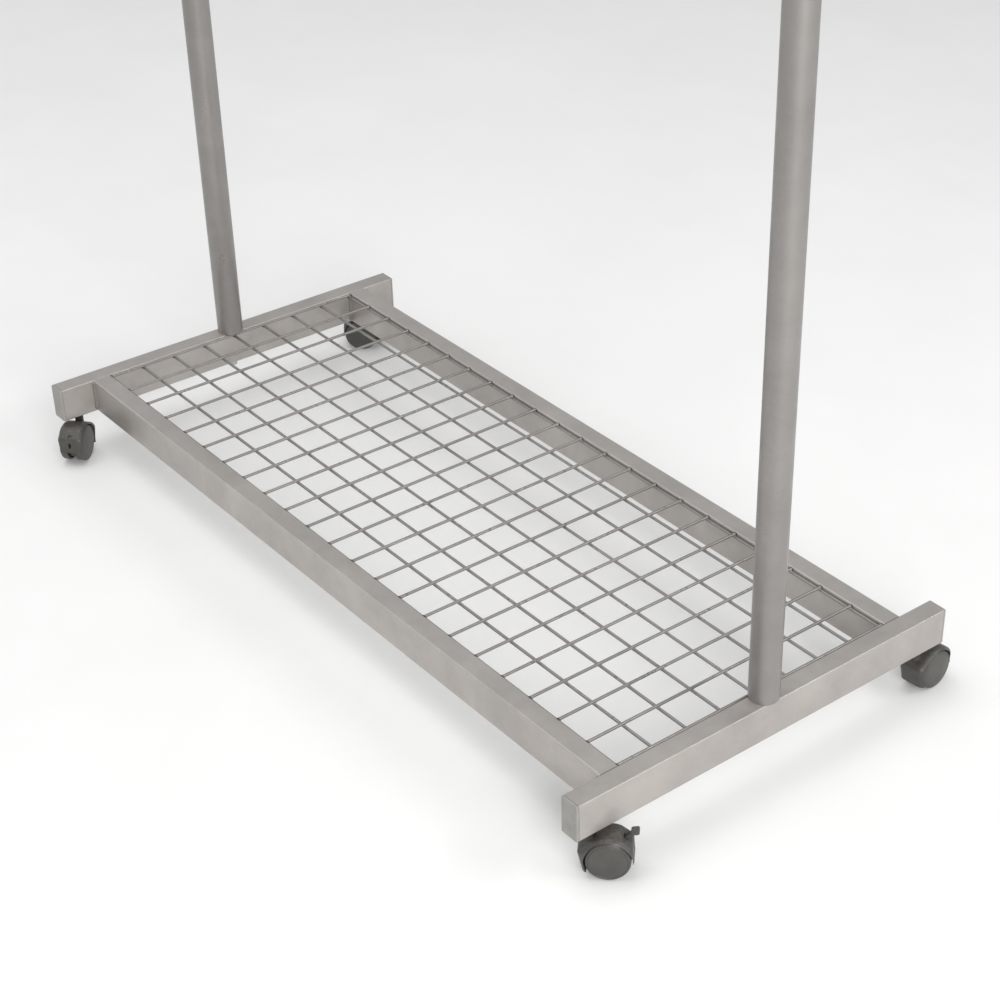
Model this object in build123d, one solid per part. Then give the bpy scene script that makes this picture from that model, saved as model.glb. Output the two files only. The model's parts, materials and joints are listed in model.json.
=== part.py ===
from build123d import *
import os
from math import atan2, cos, radians, sin

# Rolling clothes rack. Millimetres; X runs along the rack, Y from front to back, Z up from the floor.
# The origin is on the floor under the middle of the base.

# Driving dimensions: base frame
BASE_LENGTH = 1157.0
BASE_TOP = 109.0
BAR_WIDTH = 26.0
BAR_HEIGHT = 48.0
BAR_WALL = 1.5
BAR_CORNER = 2.0
FOOT_BAR_LENGTH = 556.0
RAIL_OUTER_Y = 226.5
PLUG_FLANGE = 3.5
PLUG_DEPTH = 14.0
PLUG_WALL = 2.0
PLUG_FIT = 0.1
PLUG_SLEEVE_CORNER = 0.9
PLUG_ROUNDING = 1.2
PLUG_SEAM = 0.5
WELD_LEG = 3.2
WELD_BULGE = 0.62 * WELD_LEG
WELD_WIRE_GAP = 0.5

# Driving dimensions: wire shelf
WIRE_DIAMETER = 3.8
WIRE_WELD_SINK = 0.2
WIRE_TOP_DROP = 0.3
MESH_CELLS_X = 22
MESH_CELLS_Y = 8
MESH_PITCH_X = 50.0
MESH_PITCH_Y = 49.6

# Driving dimensions: uprights and hang rail
OVERALL_HEIGHT = 1700.0
UPRIGHT_X = 563.0
UPRIGHT_DIAMETER = 36.0
UPRIGHT_WALL = 1.5
TOP_CAP_DOME = 4.0
TOP_CAP_EDGE = 0.6
CAP_DEPTH = 16.0
CAP_FIT = 0.1
HANG_RAIL_DIAMETER = 30.0
HANG_RAIL_WALL = 1.5
HANG_RAIL_DROP = 50.0
INSERT_LENGTH = 26.0
COPE_GAP = 0.25

# Driving dimensions: M6 socket cap screws that join uprights, foot bars and hang rail
SCREW_DIAMETER = 6.0
SCREW_HOLE = 6.6
SCREW_HEAD_DIAMETER = 10.0
SCREW_HEAD_HEIGHT = 6.0
SCREW_CHAMFER = 0.6
HEX_KEY = 5.0
HEX_DEPTH = 3.5
WASHER_DIAMETER = 14.0
WASHER_THICKNESS = 1.6
SADDLE_THICKNESS = 4.0
THREAD_ROOM = 0.05
THREAD_GRIP = 20.0
CUT_MARGIN = 1.0

# Driving dimensions: casters; each stands in its own frame, with its stem on Z, its wheels
# trailing towards +X and its axle along Y
STEM_X = 565.5
STEM_Y = 250.0
STEM_PIN = 7.0
STEM_COLLAR = 11.7
COLLAR_GAP = 0.3
STEM_THREAD = 10.0
STEM_HOLE = 10.4
STEM_BOTTOM = 20.0
STEM_GRIP = 14.0
NUT_FLATS = 16.0
NUT_HEIGHT = 8.0
CLIP_Z = 30.0
CLIP_HEIGHT = 1.0
CLIP_OUTER = 8.0
CLIP_INNER = 6.0
CLIP_SPLIT = 1.2
CLIP_ROOM = 0.3
CLIP_END_ROOM = 0.5
WHEEL_RADIUS = 25.0
WHEEL_INNER_FACE = 6.3
WHEEL_OUTER_FACE = 17.2
RIM_ROUNDING = 3.0
FACE_DOME = 0.5
TREAD_CHAMFER = 0.5
FACE_GROOVE = 0.4
DISC_FLAT_RADIUS = 18.0
HUB_RADIUS = 5.5
CUP_RADIUS = 22.2
CUP_FLOOR = 14.4
TRAIL = 20.0
AXLE_DIAMETER = 6.0
AXLE_HALF_LENGTH = 13.5
AXLE_END_GAP = 0.2
RUNNING_GAP = 0.05
SEAT_GAP = 0.02
HOOD_HALF_WIDTH = 18.5
HOOD_TOP = 54.3
NECK_TOP = 49.5
HOOD_SHOULDER = 8.0
HOOD_PROFILE = [
    (-1.5, -14.0, 0), (-13.6, 38.5, 7.0), (12.0, HOOD_TOP, 24.0),
    (31.0, HOOD_TOP, 20.0), (46.5, 42.0, 8.0), (50.5, -14.0, 0),
]
HOOD_HEM = [(-40.0, 3.8), (80.0, 29.7), (80.0, -40.0), (-40.0, -40.0)]
NECK_DEPTH = 9.0
REAR_SLOT_CENTRE = (46.0, 33.0)
REAR_SLOT_SIZE = (9.0, 3.4, 7.5)
RELEASE_MARK_CENTRE = (42.5, 45.0)
RELEASE_MARK_TILT = -52.0
RELEASE_MARK_SIZE = (3.0, 5.0, 5.0)
WEB_HALF_WIDTH = 5.6
WEB_RADIUS = 20.5
POCKET_GAP = 1.3
LEVER_PIVOT = (36.7, 46.4)
LEVER_TRAVEL = 30.0
LEVER_WIDTH = 6.5
LEVER_THICKNESS = 3.2
ARM_ANGLE = 42.0
ARM_LENGTH = 12.0
PADDLE_CENTRE = (11.5, 10.4)
PADDLE_ANGLE = 10.0
PADDLE_LENGTH = 9.0
PADDLE_WIDTH = 12.0
PADDLE_CORNER = 2.0
PADDLE_ROUNDING = 0.9
SLOT_SPREAD = 32.0
SLOT_ROOT = 4.0
SLOT_REACH = 22.0
SLOT_GAP = 0.5
CAM_RADIUS = 1.5
CAM_HALF_LENGTH = 12.0
CAM_ROOM = 0.4
CAM_END_ROOM = 0.4
LOBE_OFFSET = 0.4
LOBE_RADIUS = 1.35

# Where each caster stands, which way its wheels trail at rest (degrees from +X), and if it brakes
CASTERS = {
    "front_right": (1, -1, 47.0, True),
    "front_left": (-1, -1, -47.0, False),
    "back_right": (1, 1, 95.0, False),
    "back_left": (-1, 1, -128.0, True),
}

# Worked out from the dimensions above
BAR_X = BASE_LENGTH / 2 - BAR_WIDTH / 2
BAR_INNER_X = BASE_LENGTH / 2 - BAR_WIDTH
BAR_BOTTOM = BASE_TOP - BAR_HEIGHT
BAR_MIDDLE = BASE_TOP - BAR_HEIGHT / 2
STEM_TOP = BAR_BOTTOM + STEM_GRIP
BAR_TUBE_LENGTH = FOOT_BAR_LENGTH - 2 * PLUG_FLANGE
RAIL_Y = RAIL_OUTER_Y - BAR_WIDTH / 2
RAIL_INNER_Y = RAIL_OUTER_Y - BAR_WIDTH
UPRIGHT_TOP = OVERALL_HEIGHT - TOP_CAP_DOME
UPRIGHT_BORE = UPRIGHT_DIAMETER - 2 * UPRIGHT_WALL
HANG_RAIL_Z = OVERALL_HEIGHT - HANG_RAIL_DROP
CROSS_WIRE_Z = BASE_TOP - WIRE_TOP_DROP - WIRE_DIAMETER / 2
LONG_WIRE_Z = CROSS_WIRE_Z - WIRE_DIAMETER + WIRE_WELD_SINK
WELD_HEIGHT_OUTER = BAR_HEIGHT - 2 * BAR_CORNER
WELD_HEIGHT_INNER = LONG_WIRE_Z - WIRE_DIAMETER / 2 - WELD_WIRE_GAP - BAR_BOTTOM - BAR_CORNER
SIDES = {"left": -1, "right": 1}

os.makedirs("parts", exist_ok=True)


def save(name, shape):
    """Write one node, labelled with its own name."""
    shape.label = name
    export_step(shape, f"parts/{name}.step")


def group(solids):
    """Several separate solids kept as one node."""
    return Compound(children=list(solids))


def rod(diameter, start, end):
    """Solid rod along Z from start to end."""
    return Pos(0, 0, start) * extrude(Circle(diameter / 2), end - start)


def tube(outer, inner, start, end):
    """Round tube along Z from start to end."""
    return Pos(0, 0, start) * extrude(Circle(outer / 2) - Circle(inner / 2), end - start)


def box_tube(length):
    """Box-section tube along Y, centred on the origin, tall side up."""
    outer = RectangleRounded(BAR_WIDTH, BAR_HEIGHT, BAR_CORNER)
    inner = RectangleRounded(BAR_WIDTH - 2 * BAR_WALL, BAR_HEIGHT - 2 * BAR_WALL, BAR_CORNER / 2)
    return extrude(Plane.XZ * (outer - inner), length / 2, both=True)


def cap_screw(length):
    """Socket cap screw along Z: its head below Z = 0 and its shank above."""
    head = rod(SCREW_HEAD_DIAMETER, -SCREW_HEAD_HEIGHT, 0)
    head = chamfer(head.edges().sort_by(Axis.Z)[0], SCREW_CHAMFER)
    socket = Pos(0, 0, -SCREW_HEAD_HEIGHT) * extrude(
        RegularPolygon(HEX_KEY / 2, 6, major_radius=False), HEX_DEPTH)
    return head + rod(SCREW_DIAMETER, 0, length) - socket


# Base frame

def foot_bar(side):
    """Cross tube with holes for its two caster stems and for the upright's screw."""
    bar = Pos(side * BAR_X, 0, BAR_MIDDLE) * box_tube(BAR_TUBE_LENGTH)
    for end in (-1, 1):
        bar -= Pos(side * STEM_X, end * STEM_Y, 0) * rod(STEM_HOLE, BAR_BOTTOM - CUT_MARGIN, BAR_MIDDLE)
    drill = rod(SCREW_HOLE, BAR_BOTTOM - CUT_MARGIN, BASE_TOP + CUT_MARGIN)
    return bar - Pos(side * UPRIGHT_X, 0, 0) * drill


def rail(side):
    """Side tube, butted between the two foot bars."""
    return Pos(0, side * RAIL_Y, BAR_MIDDLE) * Rot(0, 0, 90) * box_tube(2 * BAR_INNER_X)


def end_plug():
    """Moulded plug along +Y: a flange outside the tube and a hollow sleeve inside it."""
    flange = extrude(Plane.XZ * RectangleRounded(BAR_WIDTH, BAR_HEIGHT, BAR_CORNER), -PLUG_FLANGE)
    flange = fillet(flange.faces().sort_by(Axis.Y)[-1].edges(), PLUG_ROUNDING)
    flange = chamfer(flange.faces().sort_by(Axis.Y)[0].edges(), PLUG_SEAM)
    fit = 2 * (BAR_WALL + PLUG_FIT)
    outer = RectangleRounded(BAR_WIDTH - fit, BAR_HEIGHT - fit, PLUG_SLEEVE_CORNER)
    inner = Rectangle(BAR_WIDTH - fit - 2 * PLUG_WALL, BAR_HEIGHT - fit - 2 * PLUG_WALL)
    return flange + extrude(Plane.XZ * (outer - inner), PLUG_DEPTH)


def end_plugs():
    """The four plugs at the foot bars' ends."""
    for side in (-1, 1):
        for end in (-1, 1):
            turn = Rot(0, 0, 0 if end > 0 else 180)
            yield Pos(side * BAR_X, end * BAR_TUBE_LENGTH / 2, BAR_MIDDLE) * turn * end_plug()


def weld_beads():
    """Upright fillet welds in the corners between rails and foot bars; the inner ones stop
    below the shelf's wires."""
    for x_side in (-1, 1):
        for y_side in (-1, 1):
            for face_y, outward in ((RAIL_INNER_Y, -1), (RAIL_OUTER_Y, 1)):
                bead = Plane.XY * make_face([
                    Line((0, 0), (WELD_LEG, 0)),
                    ThreePointArc((WELD_LEG, 0), (WELD_BULGE, WELD_BULGE), (0, WELD_LEG)),
                    Line((0, WELD_LEG), (0, 0)),
                ])
                bead = extrude(bead, WELD_HEIGHT_INNER if outward < 0 else WELD_HEIGHT_OUTER)
                if outward * y_side < 0:
                    bead = mirror(bead, Plane.XZ)
                if x_side > 0:
                    bead = mirror(bead, Plane.YZ)
                yield Pos(x_side * BAR_INNER_X, y_side * face_y, BAR_BOTTOM + BAR_CORNER) * bead


def shelf_cross_wires():
    """Wires across the rack, on top, between the rails' inner faces."""
    wire = Rot(90, 0, 0) * rod(WIRE_DIAMETER, -RAIL_INNER_Y, RAIL_INNER_Y)
    for i in range(MESH_CELLS_X + 1):
        yield Pos((i - MESH_CELLS_X / 2) * MESH_PITCH_X, 0, CROSS_WIRE_Z) * wire


def shelf_long_wires():
    """Wires along the rack, under the cross wires and pressed a little into them."""
    wire = Rot(0, 90, 0) * rod(WIRE_DIAMETER, -BAR_INNER_X, BAR_INNER_X)
    for i in range(MESH_CELLS_Y + 1):
        yield Pos(0, (i - MESH_CELLS_Y / 2) * MESH_PITCH_Y, LONG_WIRE_Z) * wire


# Uprights and hang rail

def upright(side):
    """Round tube that stands on a foot bar, drilled near its top for the hang rail's screw."""
    post = tube(UPRIGHT_DIAMETER, UPRIGHT_BORE, BASE_TOP, UPRIGHT_TOP)
    drill = Rot(0, 90, 0) * rod(SCREW_HOLE, -UPRIGHT_DIAMETER, UPRIGHT_DIAMETER)
    post -= Pos(0, 0, HANG_RAIL_Z) * drill
    return Pos(side * UPRIGHT_X, 0, 0) * post


def threaded_insert(bore):
    """Plug along +Z, pressed into a tube's end, with a hole for the screw's thread."""
    return tube(bore - 2 * SEAT_GAP, SCREW_DIAMETER + 2 * THREAD_ROOM, 0, INSERT_LENGTH)


def upright_foot_inserts():
    """Threaded plugs in the uprights' lower ends."""
    for side in (-1, 1):
        yield Pos(side * UPRIGHT_X, 0, BASE_TOP) * threaded_insert(UPRIGHT_BORE)


def upright_screws():
    """Screws up through the foot bars into the uprights."""
    for side in (-1, 1):
        z = BAR_BOTTOM - WASHER_THICKNESS
        yield Pos(side * UPRIGHT_X, 0, z) * cap_screw(WASHER_THICKNESS + BAR_HEIGHT + THREAD_GRIP)


def upright_screw_washers():
    """Flat washers between those screws' heads and the foot bars."""
    for side in (-1, 1):
        z = BAR_BOTTOM - WASHER_THICKNESS
        yield Pos(side * UPRIGHT_X, 0, 0) * tube(WASHER_DIAMETER, SCREW_HOLE, z, BAR_BOTTOM)


def upright_top_cap(side):
    """Domed cap with a sleeve that plugs the upright's top."""
    disc = rod(UPRIGHT_DIAMETER, 0, TOP_CAP_DOME)
    dome = fillet(disc.edges().sort_by(Axis.Z)[-1], TOP_CAP_DOME - TOP_CAP_EDGE)
    sleeve = tube(UPRIGHT_BORE - 2 * CAP_FIT, UPRIGHT_BORE - 2 * PLUG_WALL, -CAP_DEPTH, 0)
    return Pos(side * UPRIGHT_X, 0, UPRIGHT_TOP) * (dome + sleeve)


def hang_rail():
    """Round tube between the uprights, its ends coped to fit their round sides."""
    bar = Rot(0, 90, 0) * tube(
        HANG_RAIL_DIAMETER, HANG_RAIL_DIAMETER - 2 * HANG_RAIL_WALL, -UPRIGHT_X, UPRIGHT_X)
    cope = rod(UPRIGHT_DIAMETER + 2 * COPE_GAP, -UPRIGHT_DIAMETER, UPRIGHT_DIAMETER)
    for side in (-1, 1):
        bar -= Pos(side * UPRIGHT_X, 0, 0) * cope
    return Pos(0, 0, HANG_RAIL_Z) * bar.solids().sort_by(SortBy.VOLUME)[-1]


def hang_rail_inserts():
    """Threaded plugs in the hang rail's ends, flush with the bottom of the cope."""
    bore = HANG_RAIL_DIAMETER - 2 * HANG_RAIL_WALL
    start = UPRIGHT_X - UPRIGHT_DIAMETER / 2 - COPE_GAP
    for side in (-1, 1):
        yield Pos(side * start, 0, HANG_RAIL_Z) * Rot(0, -90 * side, 0) * threaded_insert(bore)


def hang_rail_screws():
    """Screws through the uprights into the hang rail's ends."""
    reach = UPRIGHT_X + UPRIGHT_DIAMETER / 2 + SADDLE_THICKNESS / 2
    for side in (-1, 1):
        turn = Rot(0, -90 * side, 0)
        length = UPRIGHT_DIAMETER + SADDLE_THICKNESS / 2 + THREAD_GRIP
        yield Pos(side * reach, 0, HANG_RAIL_Z) * turn * cap_screw(length)


def hang_rail_saddles():
    """Washers with one hollow side that seats on the upright's round outer side."""
    reach = UPRIGHT_X + UPRIGHT_DIAMETER / 2 + SADDLE_THICKNESS / 2
    for side in (-1, 1):
        turn = Rot(0, -90 * side, 0)
        disc = Pos(side * reach, 0, HANG_RAIL_Z) * turn * tube(
            WASHER_DIAMETER, SCREW_HOLE, 0, SADDLE_THICKNESS)
        post = Pos(side * UPRIGHT_X, 0, HANG_RAIL_Z) * rod(
            UPRIGHT_DIAMETER + 2 * SEAT_GAP, -WASHER_DIAMETER, WASHER_DIAMETER)
        yield disc - post


# Casters, each in its own frame

def stem():
    """Pin that the hood swivels on, with a groove for its clip, a collar and a threaded end."""
    pin = rod(STEM_PIN, STEM_BOTTOM, BAR_BOTTOM)
    pin -= tube(STEM_PIN + CUT_MARGIN, CLIP_INNER - 2 * SEAT_GAP, CLIP_Z, CLIP_Z + CLIP_HEIGHT)
    collar = rod(STEM_COLLAR, NECK_TOP + COLLAR_GAP, BAR_BOTTOM)
    thread = rod(STEM_THREAD, BAR_BOTTOM, STEM_TOP)
    return pin + collar + thread


def weld_nut():
    """Hexagon nut inside the foot bar."""
    z = BAR_BOTTOM + BAR_WALL
    nut = extrude(RegularPolygon(NUT_FLATS / 2, 6, major_radius=False), NUT_HEIGHT)
    return Pos(0, 0, z) * (nut - rod(STEM_THREAD + 2 * THREAD_ROOM, -CUT_MARGIN, NUT_HEIGHT + CUT_MARGIN))


def stem_clip():
    """Split ring in the stem's groove; it runs in a wider groove in the hood."""
    ring = tube(CLIP_OUTER, CLIP_INNER, CLIP_Z + SEAT_GAP, CLIP_Z + CLIP_HEIGHT - SEAT_GAP)
    return ring - Pos(-CLIP_OUTER / 2, 0, CLIP_Z) * Box(CLIP_OUTER, CLIP_SPLIT, 4 * CLIP_HEIGHT)


def across(radius, half_length):
    """Solid rod along Y, centred on the origin."""
    return extrude(Plane.XZ * Circle(radius), half_length, both=True)


def hood_blank():
    """The hood's outer form, rounded at its shoulders, before anything is cut from it."""
    face = make_face(Polyline(*[(u, z) for u, z, _ in HOOD_PROFILE], close=True))
    for u, z, radius in HOOD_PROFILE:
        if radius:
            corner = face.vertices().sort_by_distance((u, z, 0))[0]
            face = fillet(corner, radius)
    blank = extrude(Plane.XZ * face, HOOD_HALF_WIDTH, both=True)
    sides = blank.faces().filter_by(Axis.Y).edges()
    return fillet(sides, HOOD_SHOULDER)


def hood(braked):
    """One-piece hood: cover, central web, swivel socket, axle seat and lever slot."""
    body = hood_blank() + rod(STEM_COLLAR, NECK_TOP - NECK_DEPTH, NECK_TOP)
    body -= rod(STEM_COLLAR + 2 * COLLAR_GAP, NECK_TOP, HOOD_TOP + CUT_MARGIN)
    hem = Plane.XZ * make_face(Polyline(*HOOD_HEM, close=True))
    body -= extrude(hem, 2 * HOOD_HALF_WIDTH, both=True)
    for side in (-1, 1):
        pocket = across(WHEEL_RADIUS + POCKET_GAP, HOOD_HALF_WIDTH)
        body -= Pos(TRAIL, side * (WEB_HALF_WIDTH + HOOD_HALF_WIDTH), WHEEL_RADIUS) * pocket
    body += Pos(TRAIL, 0, WHEEL_RADIUS) * across(WEB_RADIUS, WEB_HALF_WIDTH)
    body -= rod(STEM_PIN + 2 * RUNNING_GAP, 0, HOOD_TOP + CUT_MARGIN)
    body -= rod(CLIP_OUTER + 2 * CLIP_ROOM, CLIP_Z - CLIP_END_ROOM, CLIP_Z + CLIP_HEIGHT + CLIP_END_ROOM)
    body -= Pos(TRAIL, 0, WHEEL_RADIUS) * across(AXLE_DIAMETER / 2 + SEAT_GAP, HOOD_HALF_WIDTH)
    slot_u, slot_z = REAR_SLOT_CENTRE
    body -= Pos(slot_u, 0, slot_z) * Box(*REAR_SLOT_SIZE)
    if braked:
        body -= lever_room()
    else:
        mark_u, mark_z = RELEASE_MARK_CENTRE
        body -= Pos(mark_u, 0, mark_z) * Rot(0, RELEASE_MARK_TILT, 0) * Box(*RELEASE_MARK_SIZE)
    return body.solids().sort_by(SortBy.VOLUME)[-1]


def lever_room():
    """Space inside the hood for the lever's cam bar and, in the rear wall, for its arm."""
    u, z = LEVER_PIVOT
    low = radians(ARM_ANGLE - LEVER_TRAVEL - SLOT_SPREAD)
    high = radians(ARM_ANGLE + SLOT_SPREAD)
    half_width = LEVER_WIDTH / 2 + SLOT_GAP
    fan = make_face(Polyline(
        (u, z), (u + SLOT_REACH * cos(low), z + SLOT_REACH * sin(low)),
        (u + SLOT_REACH * cos(high), z + SLOT_REACH * sin(high)), close=True))
    slot = extrude(Plane.XZ * fan, half_width, both=True)
    cam_room = across(CAM_RADIUS + CAM_ROOM, CAM_HALF_LENGTH + CAM_END_ROOM)
    return slot + Pos(u, 0, z) * (cam_room + across(SLOT_ROOT, half_width))


def brake_lever():
    """Cam bar over both wheels, with a raised arm and a flatter paddle behind the hood."""
    u, z = LEVER_PIVOT
    bar = across(CAM_RADIUS, CAM_HALF_LENGTH)
    towards_axle = atan2(WHEEL_RADIUS - z, TRAIL - u) + radians(LEVER_TRAVEL)
    lobe_centre = Pos(LOBE_OFFSET * cos(towards_axle), 0, LOBE_OFFSET * sin(towards_axle))
    lobe = lobe_centre * across(LOBE_RADIUS, CAM_HALF_LENGTH)
    arm = Pos(ARM_LENGTH / 2, 0, 0) * Box(ARM_LENGTH, LEVER_WIDTH, LEVER_THICKNESS)
    plate = RectangleRounded(PADDLE_LENGTH, PADDLE_WIDTH, PADDLE_CORNER)
    paddle = extrude(plate, LEVER_THICKNESS / 2, both=True)
    paddle = fillet(paddle.edges().filter_by(Plane.XY), PADDLE_ROUNDING)
    paddle_u, paddle_z = PADDLE_CENTRE
    handle = Rot(0, -ARM_ANGLE, 0) * arm
    handle += Pos(paddle_u, 0, paddle_z) * Rot(0, -PADDLE_ANGLE, 0) * paddle
    return Pos(u, 0, z) * (bar + lobe + handle)


def axle():
    """Plain axle, seated in the hood's web, with a wheel on each end."""
    return Pos(TRAIL, 0, WHEEL_RADIUS) * across(AXLE_DIAMETER / 2, AXLE_HALF_LENGTH)


def wheel(side):
    """Cup-shaped wheel: closed outer face with a fine groove, tread, rim and blind hub."""
    bore = AXLE_DIAMETER / 2 + RUNNING_GAP
    blind_end = AXLE_HALF_LENGTH + AXLE_END_GAP
    inner = WHEEL_INNER_FACE
    edge = WHEEL_RADIUS - RIM_ROUNDING
    rim_face = WHEEL_OUTER_FACE - FACE_DOME
    bend = RIM_ROUNDING * cos(radians(45))
    section = make_face([
        Polyline((bore, blind_end), (bore, inner), (HUB_RADIUS, inner), (HUB_RADIUS, CUP_FLOOR),
                 (CUP_RADIUS, CUP_FLOOR), (CUP_RADIUS, inner), (WHEEL_RADIUS - TREAD_CHAMFER, inner),
                 (WHEEL_RADIUS, inner + TREAD_CHAMFER), (WHEEL_RADIUS, rim_face - RIM_ROUNDING)),
        ThreePointArc((WHEEL_RADIUS, rim_face - RIM_ROUNDING),
                      (edge + bend, rim_face - RIM_ROUNDING + bend), (edge, rim_face)),
        Polyline((edge, rim_face), (edge - FACE_GROOVE, rim_face - FACE_GROOVE),
                 (edge - 2 * FACE_GROOVE, rim_face),
                 (DISC_FLAT_RADIUS, WHEEL_OUTER_FACE), (0, WHEEL_OUTER_FACE), (0, blind_end),
                 (bore, blind_end)),
    ])
    turned = revolve(section, Axis.Y)
    return Pos(TRAIL, 0, WHEEL_RADIUS) * Rot(0, 0, 0 if side > 0 else 180) * turned


def caster_places():
    """Each caster's name, whether it brakes, and the location of its own frame."""
    for name, (x_side, y_side, trail_angle, braked) in CASTERS.items():
        yield name, braked, Pos(x_side * STEM_X, y_side * STEM_Y, 0) * Rot(0, 0, trail_angle)


def build_frame():
    for name, side in SIDES.items():
        save(f"foot_bar_{name}", foot_bar(side))
        save(f"upright_{name}", upright(side))
        save(f"upright_top_cap_{name}", upright_top_cap(side))
    save("front_rail", rail(-1))
    save("back_rail", rail(1))
    save("foot_bar_end_plugs", group(end_plugs()))
    save("frame_weld_beads", group(weld_beads()))
    save("shelf_cross_wires", group(shelf_cross_wires()))
    save("shelf_long_wires", group(shelf_long_wires()))
    save("upright_foot_inserts", group(upright_foot_inserts()))
    save("upright_screws", group(upright_screws()))
    save("upright_screw_washers", group(upright_screw_washers()))
    save("hang_rail", hang_rail())
    save("hang_rail_inserts", group(hang_rail_inserts()))
    save("hang_rail_screws", group(hang_rail_screws()))
    save("hang_rail_saddles", group(hang_rail_saddles()))


def build_casters():
    hoods = {braked: hood(braked) for braked in (True, False)}
    for name, braked, place in caster_places():
        save(f"caster_stem_{name}", place * stem())
        save(f"caster_hood_{name}", place * hoods[braked])
        save(f"caster_axle_{name}", place * axle())
        save(f"wheel_a_{name}", place * wheel(-1))
        save(f"wheel_b_{name}", place * wheel(1))
        if braked:
            save(f"brake_lever_{name}", place * brake_lever())
    save("caster_weld_nuts", group(place * weld_nut() for _, _, place in caster_places()))
    save("caster_stem_clips", group(place * stem_clip() for _, _, place in caster_places()))


build_frame()
build_casters()
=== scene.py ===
import json
from math import cos, pi, radians, sin

import bpy
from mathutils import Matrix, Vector


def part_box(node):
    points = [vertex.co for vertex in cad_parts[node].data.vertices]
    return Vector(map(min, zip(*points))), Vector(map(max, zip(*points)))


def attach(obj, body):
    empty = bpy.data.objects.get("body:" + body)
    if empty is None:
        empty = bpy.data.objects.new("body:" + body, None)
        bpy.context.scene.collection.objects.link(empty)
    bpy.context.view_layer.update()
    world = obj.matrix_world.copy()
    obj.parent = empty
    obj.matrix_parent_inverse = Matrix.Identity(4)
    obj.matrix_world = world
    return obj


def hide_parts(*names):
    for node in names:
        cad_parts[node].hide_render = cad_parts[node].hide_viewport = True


# Looks of the rolling clothes rack. Metres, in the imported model's own frame: +X along the rack,
# +Y from front to back, +Z up from the floor.

# Rippled weld beads in the corners where the rails meet the foot bars
BEAD_LEG = 0.0032
BEAD_PITCH = 0.0021  # from ripple to ripple
BEAD_STEP = 0.00035  # from ring to ring of the mesh
BEAD_ACROSS = 8  # faces across the bead
BEAD_TAPER = 0.0022  # climb that adds a whole leg at the thinner ends
BEAD_END_SHARE = 0.35  # of the leg, at the very ends
BEAD_DRIFTS = ((0.05, 410), (0.03, 1130))  # share of the leg, and radians per metre
BEAD_CRESCENT = 0.0009  # how far a ripple bows
BEAD_RIPPLE = 0.10  # depth of a ripple, as a share of the leg
BEAD_HOLLOW = 0.12  # depth of the hollow face, as a share of the leg
BEAD_SEED_STEP = 1.7
BEAD_INSET = 0.002  # from the rail's own edges
BEAD_BELOW_WIRES = 0.0005

# The shelf's wires
WIRE_RADIUS = 0.0019
CROSS_WIRES = 23
CROSS_PITCH = 0.050
LONG_WIRES = 9
LONG_PITCH = 0.0496

# Spot welds between the wires: squashed nuggets
SPOT_RADIUS = 0.0024
SPOT_HALF_HEIGHT = 0.0012
SPOT_LEVELS = (-1.0, -0.55, 0.0, 0.55, 1.0)
SPOT_END_SHARE = 0.25  # of the radius, at the top and bottom
SPOT_SIDES = 12
SPOT_UNEVEN = 0.10
SPOT_SEED_STEPS = (1.3, 2.1)  # along the rack and across it

# Fillets round the wires' ends
END_FILLET_RADIUS = 0.0027
END_FILLET_LENGTH = 0.0018
END_FILLET_LEVELS = (0.0, 0.25, 0.55, 1.0)
END_FILLET_FALL = 1.6
END_FILLET_SIDES = 14
END_FILLET_UNEVEN = 0.06
RAIL_TOP_CLEARANCE = 0.0003

# Edges sharper than these stay hard, on the CAD nodes and on new pieces
SPLIT_ABOVE = radians(32)
SHARP_ABOVE = radians(50)
MERGE_DISTANCE = 0.00001  # joins the CAD faces' own edges, so that light runs over them

# Round tubes, given a darker copy of the box sections' silver paint: painted shade
ROUND_TUBES = ("upright_left", "upright_right", "hang_rail")

# Silver paints: darkest and lightest colour, middle roughness, metallic share
PAINTS = {
    "silver_paint": ((0.385, 0.357, 0.337), (0.490, 0.457, 0.431), 0.37, 0.58),
    # The tube paint is the silver paint made darker, as painted shade on the round tubes
    "tube_paint_shaded": ((0.252, 0.239, 0.228), (0.303, 0.288, 0.275), 0.36, 0.58),
    "weld_paint": ((0.19, 0.18, 0.17), (0.26, 0.248, 0.236), 0.42, 0.45),
    # Near-black paint for the fillets at the wires' ends: painted shade where the wires meet the
    # frame
    "wire_end_shade": ((0.050, 0.046, 0.042), (0.095, 0.088, 0.080), 0.55, 0.30),
    "wire_paint": ((0.245, 0.232, 0.220), (0.315, 0.298, 0.282), 0.33, 0.66),
}

# Plastics and black steel: darkest and lightest colour, middle roughness, grain, scuffs' strength
MOULDINGS = {
    "grey_plastic": ((0.240, 0.231, 0.214), (0.298, 0.287, 0.266), 0.46, 1500.0, 0.25),
    "hood_plastic": ((0.045, 0.042, 0.037), (0.064, 0.060, 0.053), 0.42, 1700.0, 0.30),
    "wheel_plastic": ((0.051, 0.048, 0.042), (0.072, 0.067, 0.060), 0.36, 1300.0, 0.45),
    "insert_plastic": ((0.030, 0.030, 0.030), (0.045, 0.045, 0.045), 0.50, 1500.0, 0.20),
    "black_steel": ((0.026, 0.026, 0.025), (0.040, 0.039, 0.037), 0.34, 2200.0, 0.25),
}

# Zinc plate and floor: darkest and lightest colour
ZINC_TONES = ((0.44, 0.45, 0.47), (0.66, 0.66, 0.67))
FLOOR_TONES = ((0.80, 0.80, 0.79), (0.83, 0.83, 0.82))

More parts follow.
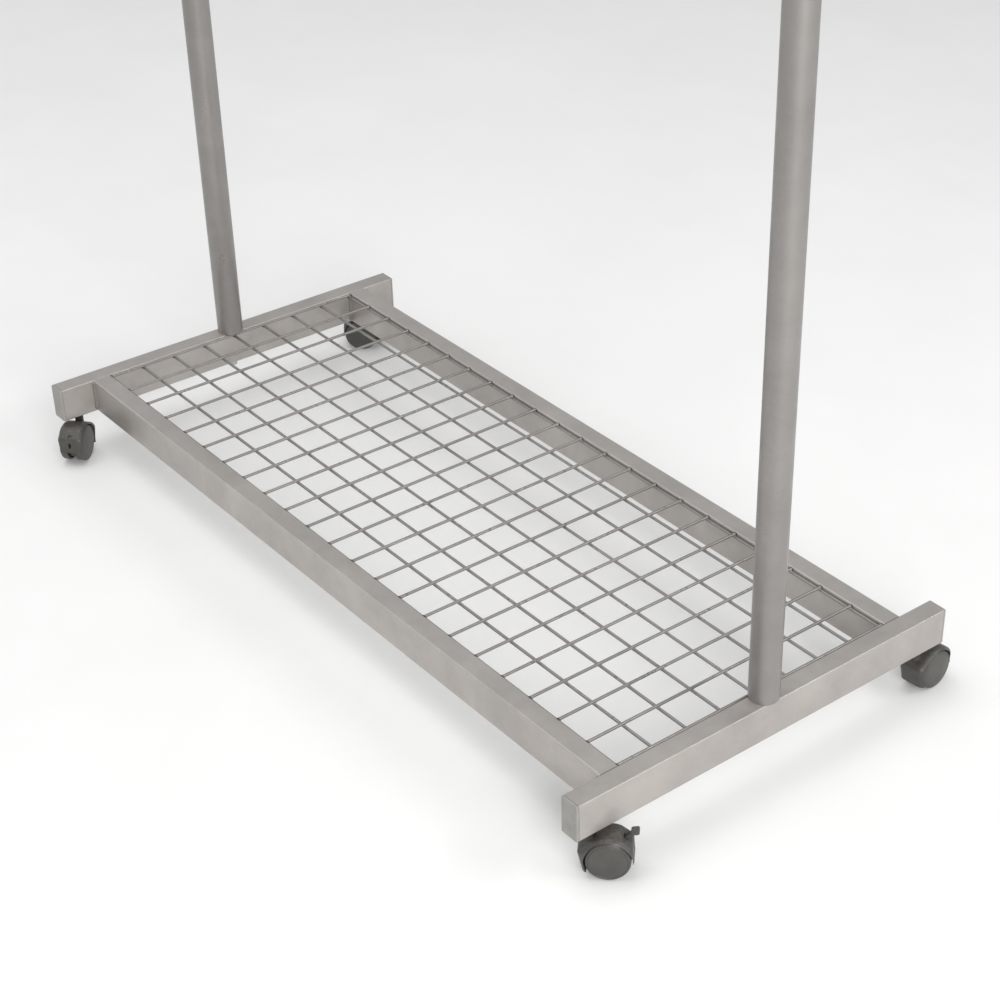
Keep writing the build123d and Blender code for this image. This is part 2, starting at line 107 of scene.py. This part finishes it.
# Scales of the textures. Larger is finer
PAINT_DRIFT, PAINT_MOTTLE, PAINT_SCUFFS, PAINT_DUST = 9.0, 24.0, 26.0, 60.0
PAINT_PEEL, PAINT_FLAKES, PAINT_GRAIN = 520.0, 2600.0, 3200.0
PLASTIC_TONE, PLASTIC_SCUFFS, PLASTIC_GLOSS, PLASTIC_DUST = 55.0, 90.0, 160.0, 240.0
ZINC_GLOSS, ZINC_SPANGLE, ZINC_TURNING = 300.0, 420.0, 900.0
FLOOR_DRIFT, FLOOR_GLOSS = 3.0, 40.0

# Scuffs: how far under the top of the noise they start, so larger is more of them, and their
# colour and strength on the paint
PAINT_SCUFF_REACH, PLASTIC_SCUFF_REACH = 0.27, 0.30
PAINT_SCUFF_COLOUR, PAINT_SCUFF_STRENGTH = (0.62, 0.61, 0.59), 0.16
SCUFF_EDGE = 0.035  # noise over which a scuff fades in
SCUFF_STRETCH = (1.0, 9.0, 9.0), (9.0, 1.0, 5.0)
PLASTIC_SCUFF_PALER = 2.3, 0.03  # times the light colour, and added

# Dust: colour, how level a surface must be to hold any, strength on level ones, and the noise
# values between which its patches fade in
PAINT_DUST_LOOK = (0.42, 0.40, 0.37), 0.75, 0.22, (0.42, 0.70)
PLASTIC_DUST_LOOK = (0.30, 0.28, 0.25), 0.5, 0.20, (0.40, 0.72)

# Roughness: below and above the middle one, or lowest and highest
PAINT_GLOSS_SPREAD, PLASTIC_GLOSS_SPREAD = (0.09, 0.10), (0.06, 0.08)
ZINC_ROUGHNESS, FLOOR_ROUGHNESS = (0.24, 0.42), (0.60, 0.70)

# Bumps: strength and distance
PEEL_BUMP, GRAIN_BUMP = (0.16, 0.0002), (0.10, 0.0001)
PLASTIC_BUMP, TURNING_BUMP = (0.22, 0.0002), (0.14, 0.0001)

FLAKE_TONES = 0.80, 1.0
FLAKE_STRENGTH = 0.45
TURNING_STRETCH = (1.0, 1.0, 12.0)

# ShaderNodeMix has a socket of the same name for each type, so its colour ones go by number
MIX_FACTOR, MIX_FIRST, MIX_SECOND, MIX_RESULT = 0, 6, 7, 2

FLOOR_REACH = 30.0
WORLD_COLOUR = (0.93, 0.94, 0.95, 1)
WORLD_STRENGTH = 0.55

# Area lights: name, place, what it points at, width and height, watts
LIGHTS = (
    ("top", (-0.6, -0.6, 4.2), (0, 0, 0), (3.4, 3.0), 70),
    ("key", (4.2, -1.6, 2.2), (0.2, 0, 0.2), (2.6, 2.2), 150),
    ("fill", (-3.6, -2.8, 2.4), (0, 0, 0.3), (2.8, 2.4), 25),
    ("edge_strip", (2.96, 2.04, 2.58), (0.6, 0, 0.1), (2.4, 0.5), 38),
)

CAMERA_LOCATION = (1.85565, -1.30356, 1.51363)
CAMERA_FORWARD = (-0.64918, 0.53484, -0.54085)
CAMERA_LENS = 75.02
CAMERA_SENSOR = 36.0
CAMERA_SHIFT = (-0.0966, 0.0200)


# Shader building blocks

class Shading:
    """One material and the nodes its surface is made from."""

    def __init__(self, name):
        self.material = bpy.data.materials.new(name)
        self.material.use_nodes = True
        self.tree = self.material.node_tree
        self.shader = self.tree.nodes["Principled BSDF"]
        self.place = self.tree.nodes.new("ShaderNodeTexCoord").outputs["Object"]
        self.bumped = None

    def give(self, socket, value):
        """Links another node's output to a socket, or sets a plain value on it."""
        if isinstance(value, bpy.types.NodeSocket):
            self.tree.links.new(value, socket)
        else:
            socket.default_value = value

    def node(self, kind, **inputs):
        made = self.tree.nodes.new(kind)
        for name, value in inputs.items():
            self.give(made.inputs[name], value)
        return made

    def feed(self, name, value):
        """Gives the shader one of its inputs."""
        self.give(self.shader.inputs[name], value)

    def stretched(self, scale):
        return self.node("ShaderNodeMapping", Vector=self.place, Scale=scale).outputs["Vector"]

    def noise(self, scale, detail=4.0, rough=0.6, place=None):
        made = self.node("ShaderNodeTexNoise", Vector=place or self.place, Scale=scale,
                         Detail=detail, Roughness=rough)
        return made.outputs["Fac"]

    def cells(self, scale):
        return self.node("ShaderNodeTexVoronoi", Vector=self.place, Scale=scale).outputs["Color"]

    def ramp(self, fac, *stops):
        """Maps fac through (position, grey or colour) stops."""
        made = self.node("ShaderNodeValToRGB", Fac=fac)
        for element, (position, value) in zip(made.color_ramp.elements, stops, strict=True):
            element.position = position
            rgb = (value, value, value) if isinstance(value, float) else value
            element.color = (*rgb, 1.0)
        return made.outputs["Color"]

    def blend(self, mode, fac, first, second):
        made = self.tree.nodes.new("ShaderNodeMix")
        made.data_type = "RGBA"
        made.blend_type = mode
        for index, value in ((MIX_FACTOR, fac), (MIX_FIRST, first), (MIX_SECOND, second)):
            self.give(made.inputs[index], value)
        return made.outputs[MIX_RESULT]

    def bump(self, height, strength, distance):
        """Adds a bump on top of those already there."""
        made = self.node("ShaderNodeBump", Height=height, Strength=strength, Distance=distance)
        if self.bumped:
            self.tree.links.new(self.bumped, made.inputs["Normal"])
        self.bumped = made.outputs["Normal"]
        self.feed("Normal", self.bumped)

    def upward(self):
        """How far the surface faces up, from -1 to 1."""
        normal = self.node("ShaderNodeNewGeometry").outputs["Normal"]
        return self.node("ShaderNodeSeparateXYZ", Vector=normal).outputs["Z"]

    def scuffed(self, coat, scale, reach, strength, colour):
        """Short fine scratches that run two ways, over a coat."""
        along, across = (self.noise(scale, 3.0, 0.7, self.stretched(stretch))
                         for stretch in SCUFF_STRETCH)
        crossed = self.blend("LIGHTEN", 1.0, along, across)
        marks = self.ramp(crossed, (1.0 - reach, 0.0), (1.0 - reach + SCUFF_EDGE, 1.0))
        faint = self.ramp(marks, (0.0, 0.0), (1.0, strength))
        return self.blend("MIX", faint, coat, (*colour, 1))

    def dusted(self, coat, scale, colour, level, strength, patches):
        """Settled dust on what faces up, in patches, over a coat."""
        thin, thick = patches
        mask = self.blend("MULTIPLY", 1.0,
                          self.ramp(self.upward(), (level, 0.0), (1.0, strength)),
                          self.ramp(self.noise(scale, 6.0, 0.7), (thin, 0.0), (thick, 1.0)))
        return self.blend("MIX", mask, coat, (*colour, 1))


def silver_paint(name, dark, light, roughness, metal):
    """Satin metallic powder coat: flakes, orange peel, faint handling marks and settled dust."""
    paint = Shading(name)
    drift = paint.ramp(paint.noise(PAINT_DRIFT, 8.0, 0.68), (0.34, dark), (0.66, light))
    flakes = paint.ramp(paint.cells(PAINT_FLAKES), (0.1, FLAKE_TONES[0]), (0.9, FLAKE_TONES[1]))
    coat = paint.blend("MULTIPLY", FLAKE_STRENGTH, drift, flakes)
    coat = paint.scuffed(coat, PAINT_SCUFFS, PAINT_SCUFF_REACH, PAINT_SCUFF_STRENGTH,
                         PAINT_SCUFF_COLOUR)
    paint.feed("Base Color", paint.dusted(coat, PAINT_DUST, *PAINT_DUST_LOOK))
    under, over = PAINT_GLOSS_SPREAD
    paint.feed("Roughness", paint.ramp(paint.noise(PAINT_MOTTLE, 8.0, 0.7),
                                       (0.34, roughness - under), (0.66, roughness + over)))
    paint.feed("Metallic", metal)
    paint.bump(paint.noise(PAINT_PEEL, 2.0), *PEEL_BUMP)
    paint.bump(paint.noise(PAINT_GRAIN, 2.0), *GRAIN_BUMP)
    return paint.material


def moulded_plastic(name, dark, light, roughness, grain, wear):
    """Moulded plastic with a fine spark-eroded grain, dust on top and pale scuffs."""
    plastic = Shading(name)
    tone = plastic.ramp(plastic.noise(PLASTIC_TONE, 5.0), (0.3, dark), (0.7, light))
    times, plus = PLASTIC_SCUFF_PALER
    tone = plastic.scuffed(tone, PLASTIC_SCUFFS, PLASTIC_SCUFF_REACH, wear,
                           [times * channel + plus for channel in light])
    plastic.feed("Base Color", plastic.dusted(tone, PLASTIC_DUST, *PLASTIC_DUST_LOOK))
    under, over = PLASTIC_GLOSS_SPREAD
    plastic.feed("Roughness", plastic.ramp(plastic.noise(PLASTIC_GLOSS, 4.0),
                                           (0.3, roughness - under), (0.7, roughness + over)))
    plastic.bump(plastic.noise(grain, 3.0, 0.7), *PLASTIC_BUMP)
    return plastic.material


def zinc_plate():
    """Bright zinc plate with spangled tone and turning lines."""
    zinc = Shading("zinc_plate")
    dark, light = ZINC_TONES
    zinc.feed("Base Color", zinc.ramp(zinc.cells(ZINC_SPANGLE), (0.1, dark), (0.9, light)))
    low, high = ZINC_ROUGHNESS
    zinc.feed("Roughness", zinc.ramp(zinc.noise(ZINC_GLOSS, 5.0), (0.3, low), (0.7, high)))
    zinc.feed("Metallic", 1.0)
    lines = zinc.noise(ZINC_TURNING, 2.0, 0.5, zinc.stretched(TURNING_STRETCH))
    zinc.bump(lines, *TURNING_BUMP)
    return zinc.material


def make_materials():
    """A material for each of the record's slots, and three more paints: tube and two welds. The
    tube paint and the end welds' near-black paint are painted shade.
    """
    made = {name: silver_paint(name, *look) for name, look in PAINTS.items()}
    for name, look in MOULDINGS.items():
        made[name] = moulded_plastic(name, *look)
    made["zinc_steel"] = zinc_plate()
    return made


# New pieces

def new_piece(name, verts, faces, material):
    mesh = bpy.data.meshes.new(name)
    mesh.from_pydata(verts, [], faces)
    mesh.validate()
    mesh.shade_smooth()
    mesh.set_sharp_from_angle(angle=SHARP_ABOVE)
    mesh.materials.append(material)
    piece = bpy.data.objects.new(name, mesh)
    bpy.context.scene.collection.objects.link(piece)
    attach(piece, "root")
    return piece


def turns(count):
    """Equal steps round a circle."""
    return [2 * pi * k / count for k in range(count)]


def skin(rings, verts, faces):
    """Joins equal rings of points into one closed skin, capped at both ends."""
    first, count = len(verts), len(rings[0])
    for ring in rings:
        verts.extend(ring)
    for i in range(len(rings) - 1):
        low, high = first + i * count, first + (i + 1) * count
        for j in range(count):
            k = (j + 1) % count
            faces.append((low + j, low + k, high + k, high + j))
    faces.append(tuple(range(first, first + count))[::-1])
    faces.append(tuple(range(first + (len(rings) - 1) * count, first + len(rings) * count)))


def bead_rings(corner, toward_x, toward_y, low, high, seed):
    """Rings of a rippled fillet weld that climbs the corner from low to high."""
    rings = []
    steps = int((high - low) / BEAD_STEP)
    for i in range(steps + 1):
        z = low + (high - low) * i / steps
        ends = min(1.0, BEAD_END_SHARE + min(z - low, high - z) / BEAD_TAPER)
        drift = 1.0
        for times, (amount, rate) in enumerate(BEAD_DRIFTS, 1):
            drift += amount * sin(z * rate + times * seed)
        ring = [Vector((corner[0], corner[1], z))]
        for j in range(BEAD_ACROSS + 1):
            angle = pi / 2 * j / BEAD_ACROSS
            crescent = z + BEAD_CRESCENT * sin(2 * angle)
            ripple = 1.0 - BEAD_RIPPLE + BEAD_RIPPLE * abs(cos(pi * crescent / BEAD_PITCH + seed))
            hollow = 1.0 - BEAD_HOLLOW * sin(2 * angle)
            leg = min(BEAD_LEG, BEAD_LEG * ends * drift * ripple) * hollow
            ring.append(Vector((corner[0] + toward_x * leg * cos(angle),
                                corner[1] + toward_y * leg * sin(angle), z)))
        rings.append(ring)
    return rings


def weld_beads(material):
    """Rippled welds in place of the eight plain beads."""
    rail_low, rail_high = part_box("back_rail")
    wires_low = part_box("shelf_long_wires")[0].z
    low = rail_low.z + BEAD_INSET
    verts, faces, seed = [], [], 0.0
    for x_side in (-1, 1):
        for y_side in (-1, 1):
            for face_y, outward, top in ((rail_low.y, -1, wires_low - BEAD_BELOW_WIRES),
                                         (rail_high.y, 1, rail_high.z - BEAD_INSET)):
                seed += BEAD_SEED_STEP
                corner = (x_side * rail_high.x, y_side * face_y)
                rings = bead_rings(corner, -x_side, y_side * outward, low, top, seed)
                skin(rings, verts, faces)
    piece = new_piece("frame_welds_rippled", verts, faces, material)
    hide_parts("frame_weld_beads")


def nugget(centre, seed, verts, faces):
    """A small squashed spot weld, uneven round its edge."""
    rings = []
    for level in SPOT_LEVELS:
        reach = SPOT_RADIUS * max(SPOT_END_SHARE, (1.0 - level * level) ** 0.5)
        rings.append([centre + Vector((
            reach * (1.0 + SPOT_UNEVEN * sin(3 * a + seed)) * cos(a),
            reach * (1.0 + SPOT_UNEVEN * sin(2 * a + 2 * seed)) * sin(a),
            level * SPOT_HALF_HEIGHT)) for a in turns(SPOT_SIDES)])
    skin(rings, verts, faces)


def wire_places():
    """The wires' own positions: x of each cross wire, y of each long wire, and both heights."""
    cross_low, cross_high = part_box("shelf_cross_wires")
    long_low, long_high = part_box("shelf_long_wires")
    xs = [(i - (CROSS_WIRES - 1) / 2) * CROSS_PITCH for i in range(CROSS_WIRES)]
    ys = [(i - (LONG_WIRES - 1) / 2) * LONG_PITCH for i in range(LONG_WIRES)]
    return xs, ys, (cross_low.z + cross_high.z) / 2, (long_low.z + long_high.z) / 2


def spot_welds(material):
    """One nugget at each crossing of the shelf's wires."""
    xs, ys, cross_z, long_z = wire_places()
    along, across = SPOT_SEED_STEPS
    verts, faces = [], []
    for i, x in enumerate(xs):
        for j, y in enumerate(ys):
            centre = Vector((x, y, (cross_z + long_z) / 2))
            nugget(centre, along * i + across * j, verts, faces)
    new_piece("shelf_spot_welds", verts, faces, material)


def end_fillet(centre, inward, seed, top, verts, faces):
    """A small uneven weld fillet round a wire where it meets the frame."""
    side = Vector((0, 0, 1)).cross(inward)
    rings = []
    for level in END_FILLET_LEVELS:
        left = 1.0 - level
        radius = WIRE_RADIUS + (END_FILLET_RADIUS - WIRE_RADIUS) * left ** END_FILLET_FALL
        ring = []
        for a in turns(END_FILLET_SIDES):
            r = radius * (1.0 + END_FILLET_UNEVEN * left * sin(3 * a + seed))
            point = centre + inward * (level * END_FILLET_LENGTH) + side * (r * cos(a))
            point.z = min(top, point.z + r * sin(a))
            ring.append(point)
        rings.append(ring)
    skin(rings, verts, faces)


def wire_end_welds(material):
    """Fillets at both ends of every wire."""
    xs, ys, cross_z, long_z = wire_places()
    wire_end_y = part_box("shelf_cross_wires")[1].y
    wire_end_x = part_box("shelf_long_wires")[1].x
    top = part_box("front_rail")[1].z - RAIL_TOP_CLEARANCE
    verts, faces = [], []
    for side in (-1, 1):
        for i, x in enumerate(xs):
            centre = Vector((x, side * wire_end_y, cross_z))
            end_fillet(centre, Vector((0, -side, 0)), i + side, top, verts, faces)
        for j, y in enumerate(ys):
            centre = Vector((side * wire_end_x, y, long_z))
            end_fillet(centre, Vector((-side, 0, 0)), j + side, top, verts, faces)
    new_piece("shelf_wire_end_welds", verts, faces, material)


# Carried-over CAD nodes

def finish_cad_node(node, material):
    """Gives a CAD node its material and smooth shading. Its shape isn't changed."""
    node.data.materials.clear()
    node.data.materials.append(material)
    join = node.modifiers.new("join_faces", "WELD")
    join.merge_threshold = MERGE_DISTANCE
    split = node.modifiers.new("round_light", "EDGE_SPLIT")
    split.split_angle = SPLIT_ABOVE
    node.data.shade_smooth()


# Stage

def floor():
    mesh = bpy.data.meshes.new("floor")
    mesh.from_pydata([(x * FLOOR_REACH, y * FLOOR_REACH, 0)
                      for x, y in ((-1, -1), (1, -1), (1, 1), (-1, 1))], [], [(0, 1, 2, 3)])
    pale = Shading("pale_floor")
    dark, light = FLOOR_TONES
    pale.feed("Base Color", pale.ramp(pale.noise(FLOOR_DRIFT, 3.0), (0.3, dark), (0.7, light)))
    low, high = FLOOR_ROUGHNESS
    pale.feed("Roughness", pale.ramp(pale.noise(FLOOR_GLOSS, 3.0), (0.3, low), (0.7, high)))
    mesh.materials.append(pale.material)
    piece = bpy.data.objects.new("floor", mesh)
    bpy.context.scene.collection.objects.link(piece)


def area_light(name, location, target, size, power):
    data = bpy.data.lights.new(name, "AREA")
    data.shape = "RECTANGLE"
    data.size, data.size_y = size
    data.energy = power
    lamp = bpy.data.objects.new(name, data)
    lamp.location = location
    lamp.rotation_mode = "QUATERNION"
    lamp.rotation_quaternion = (Vector(target) - Vector(location)).to_track_quat("-Z", "Y")
    bpy.context.scene.collection.objects.link(lamp)


def light_studio():
    world = bpy.data.worlds.new("studio")
    world.use_nodes = True
    background = world.node_tree.nodes["Background"]
    background.inputs["Color"].default_value = WORLD_COLOUR
    background.inputs["Strength"].default_value = WORLD_STRENGTH
    bpy.context.scene.world = world
    for light in LIGHTS:
        area_light(*light)
    bpy.context.scene.view_settings.view_transform = "Standard"


def place_camera():
    data = bpy.data.cameras.new("camera")
    data.sensor_width = CAMERA_SENSOR
    data.lens = CAMERA_LENS
    data.shift_x, data.shift_y = CAMERA_SHIFT
    camera = bpy.data.objects.new("camera", data)
    camera.location = CAMERA_LOCATION
    camera.rotation_mode = "QUATERNION"
    camera.rotation_quaternion = Vector(CAMERA_FORWARD).to_track_quat("-Z", "Y")
    bpy.context.scene.collection.objects.link(camera)
    bpy.context.scene.camera = camera


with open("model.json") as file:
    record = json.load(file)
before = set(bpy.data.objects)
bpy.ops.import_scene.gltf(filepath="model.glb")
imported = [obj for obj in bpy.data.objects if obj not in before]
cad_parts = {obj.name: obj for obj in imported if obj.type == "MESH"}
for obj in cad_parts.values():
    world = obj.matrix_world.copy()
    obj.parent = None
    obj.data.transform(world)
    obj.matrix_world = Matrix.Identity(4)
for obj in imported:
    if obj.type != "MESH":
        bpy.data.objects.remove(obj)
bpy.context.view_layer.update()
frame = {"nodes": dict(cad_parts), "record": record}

materials = make_materials()
for subpart in frame["record"]["subparts"]:
    # The round tubes take the darker tube paint: painted shade
    look = "tube_paint_shaded" if subpart["node"] in ROUND_TUBES else subpart["material_slot"]
    finish_cad_node(frame["nodes"][subpart["node"]], materials[look])
weld_beads(materials["weld_paint"])
spot_welds(materials["wire_paint"])
# The end fillets take the near-black paint: painted shade round the wires' ends
wire_end_welds(materials["wire_end_shade"])
floor()
light_studio()
place_camera()
